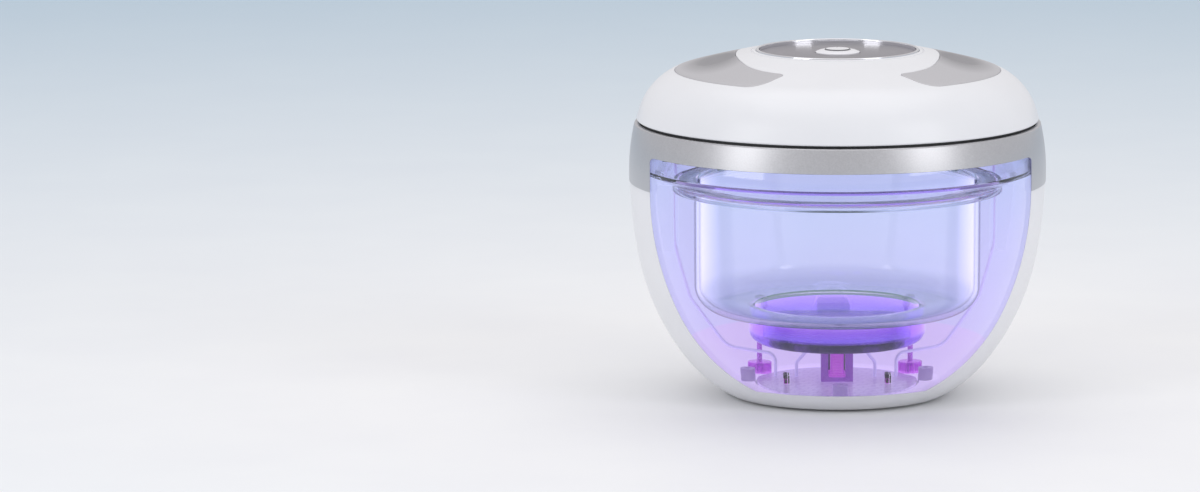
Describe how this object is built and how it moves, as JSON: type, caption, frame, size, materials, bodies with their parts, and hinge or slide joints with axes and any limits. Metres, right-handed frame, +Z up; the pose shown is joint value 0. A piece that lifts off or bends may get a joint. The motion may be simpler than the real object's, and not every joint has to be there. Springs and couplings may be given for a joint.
{
  "type": "ultrasonic retainer cleaner",
  "caption": "Egg-shaped countertop ultrasonic cleaner with a front window, clear hung tank, lift-off lid with finger hollows and a sprung power button.",
  "frame": {"origin": "on the counter under the centre of the casing, at the underside of the feet", "axes": "+Z up, the window faces -Y, the power inlet is at +Y, +X to the right seen from the front"},
  "size_m": [0.1306, 0.1303, 0.1094],
  "materials": {
    "white_abs": "white moulded ABS, glossy",
    "silver_paint": "satin silver paint on a moulded part",
    "window_clear": "clear lilac-tinted panel, polished",
    "tank_clear": "clear tank plastic, polished",
    "deck_clear": "clear moulded liner",
    "white_inner": "white moulded plastic, fine satin",
    "grey_rubber": "soft grey rubber",
    "screw_steel": "zinc plated steel",
    "board_white": "white solder mask on a glass-epoxy board",
    "ferrite": "dark ferrite",
    "winding": "taped winding on its bobbin",
    "black_epoxy": "black moulded plastic",
    "contact_block": "pale moulded block",
    "capacitor_sleeve": "shrink sleeve over an aluminium can",
    "clear_silicone": "translucent silicone",
    "black_silicone": "black silicone",
    "stainless": "bright rolled stainless steel",
    "piezo_ceramic": "dark lacquered piezo ceramic",
    "lead_sleeve": "pale insulated lead",
    "knob_clear": "clear moulded knob lit magenta",
    "nickel": "bright nickel plate",
    "spring_steel": "fine spring steel wire",
    "lamp": "lamp package with a violet dome",
    "lens_clear": "clear lamp lens",
    "brushed_aluminium": "fine brushed aluminium",
    "bezel_chrome": "polished chrome",
    "button_white": "white moulded button"
  },
  "bodies": {
    "base": {"body_shell": "white_abs", "collar_band": "silver_paint", "window_panel": "window_clear", "tank": "tank_clear", "deck_liner": "deck_clear", "base_plate": "white_inner", "base_feet": "grey_rubber", "base_screws": "screw_steel", "driver_board": "board_white", "transformer_core": "ferrite", "transformer_coil": "winding", "power_transistors": "black_epoxy", "inlet_jack": "black_epoxy", "contact_blocks": "contact_block", "filter_capacitor": "capacitor_sleeve", "tank_seal": "clear_silicone", "pillar_caps": "clear_silicone", "diaphragm_plate": "stainless", "pillar_pins": "stainless", "piezo_disc": "piezo_ceramic", "piezo_leads": "lead_sleeve", "inlet_leads": "lead_sleeve", "contact_leads": "lead_sleeve", "pillar_knobs": "knob_clear", "inlet_pin": "nickel", "contact_springs": "spring_steel"},
    "contacts": {"contact_pins": "nickel"},
    "lid": {"lid_shell": "white_abs", "left_grip": "silver_paint", "right_grip": "silver_paint", "lid_tray": "white_inner", "lid_screws": "screw_steel", "lid_seal": "black_silicone", "contact_pads": "nickel", "lamp_board": "board_white", "uv_lamps": "lamp", "uv_lens": "lens_clear", "badge_plate": "brushed_aluminium", "badge_bezel": "bezel_chrome", "switch_board": "board_white", "tact_switch": "black_epoxy", "lid_leads": "lead_sleeve"},
    "button": {"power_button": "button_white", "switch_stem": "button_white"}
  },
  "joints": [
    {"name": "lid_lift", "type": "slide", "parent": "base", "child": "lid", "axis": [0, 0, 1], "range_m": [0, 0.12]},
    {"name": "button_press", "type": "slide", "parent": "lid", "child": "button", "axis": [0, 0, -1], "range_m": [0, 0.0006], "stiffness_N_per_m": 800},
    {"name": "contact_press", "type": "slide", "parent": "base", "child": "contacts", "axis": [0, 0, -1], "range_m": [0, 0.0008], "stiffness_N_per_m": 600, "deforming": ["contact_springs"]}
  ]
}
